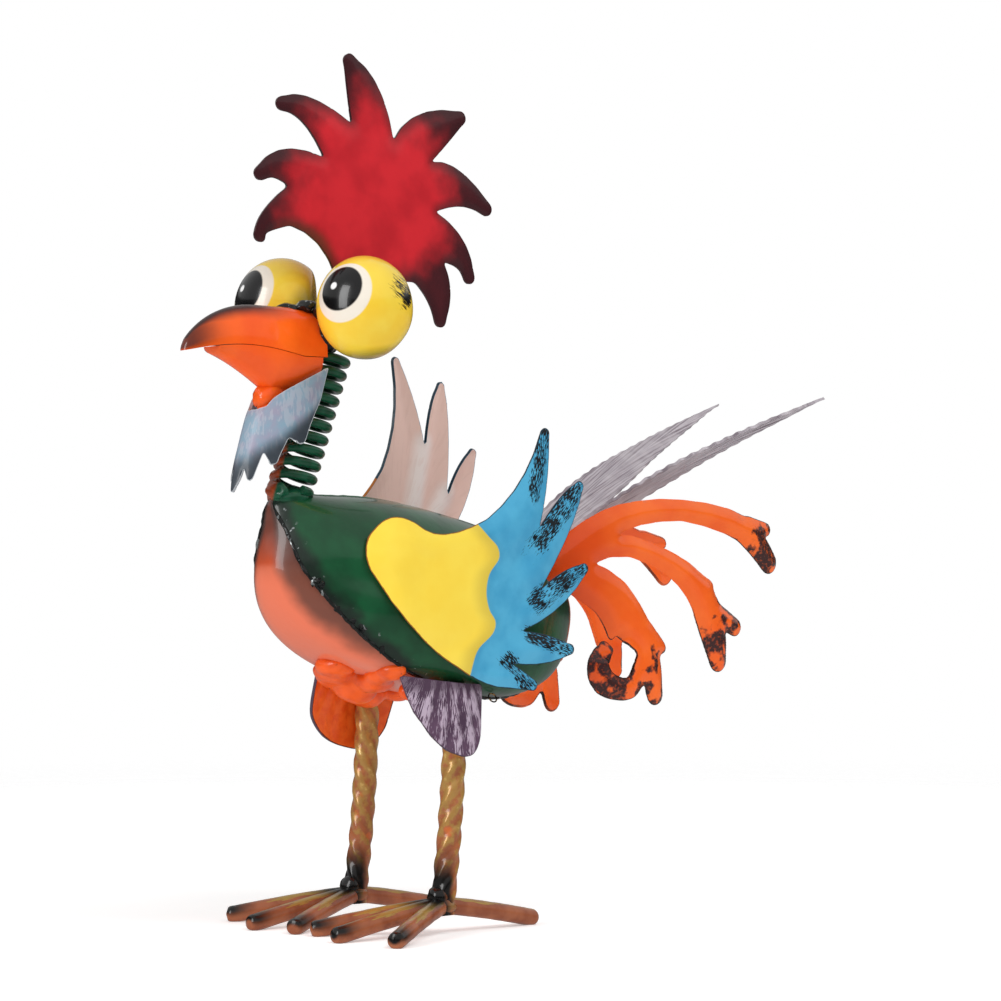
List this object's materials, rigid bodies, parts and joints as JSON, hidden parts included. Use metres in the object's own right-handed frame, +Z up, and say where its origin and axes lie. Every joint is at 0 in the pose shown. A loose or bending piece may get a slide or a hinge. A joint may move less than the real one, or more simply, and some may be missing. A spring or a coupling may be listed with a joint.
{
  "type": "metal rooster sculpture",
  "caption": "Standing rooster sculpture of painted scrap sheet and rod, with a coil-spring neck, ball eyes, fan comb, leaf wings and a scrolled tail",
  "frame": {"origin": "on the ground, under the middle of the whole sculpture's box", "axes": "+Z up, the bird faces -Y, its left side is +X"},
  "size_m": [0.136, 0.3706, 0.4008],
  "materials": {
    "green_enamel": "gloss",
    "salmon_enamel": "gloss, airbrushed brown at the edges",
    "yellow_enamel": "gloss",
    "orange_enamel": "gloss, black dry-brushed ends",
    "red_enamel": "gloss, airbrushed black ends",
    "grey_blue_enamel": "satin",
    "blue_enamel": "gloss, black dry-brushed ends",
    "lavender_paint": "satin, lined",
    "purple_paint": "satin, lavender dry-brushed",
    "bronze_paint": "gloss, black and gold dry-brushed",
    "dark_wire": "gloss"
  },
  "bodies": {
    "root": {"body_left": "green_enamel", "body_right": "green_enamel", "breast": "salmon_enamel", "neck_spring": "green_enamel", "eye_left": "yellow_enamel", "eye_right": "yellow_enamel", "beak_upper": "orange_enamel", "beak_lower": "orange_enamel", "comb": "red_enamel", "beard": "grey_blue_enamel", "wing_left": "blue_enamel", "wing_right": "blue_enamel", "tail_left": "orange_enamel", "tail_right": "orange_enamel", "quill_left": "lavender_paint", "quill_right": "lavender_paint", "thigh_left": "purple_paint", "thigh_right": "orange_enamel", "leg_left": "bronze_paint", "leg_right": "bronze_paint", "toe_left_outer": "bronze_paint", "toe_left_middle": "bronze_paint", "toe_left_inner": "bronze_paint", "toe_left_hind": "bronze_paint", "toe_right_outer": "bronze_paint", "toe_right_middle": "bronze_paint", "toe_right_inner": "bronze_paint", "toe_right_hind": "bronze_paint", "loop": "dark_wire"}
  },
  "joints": []
}
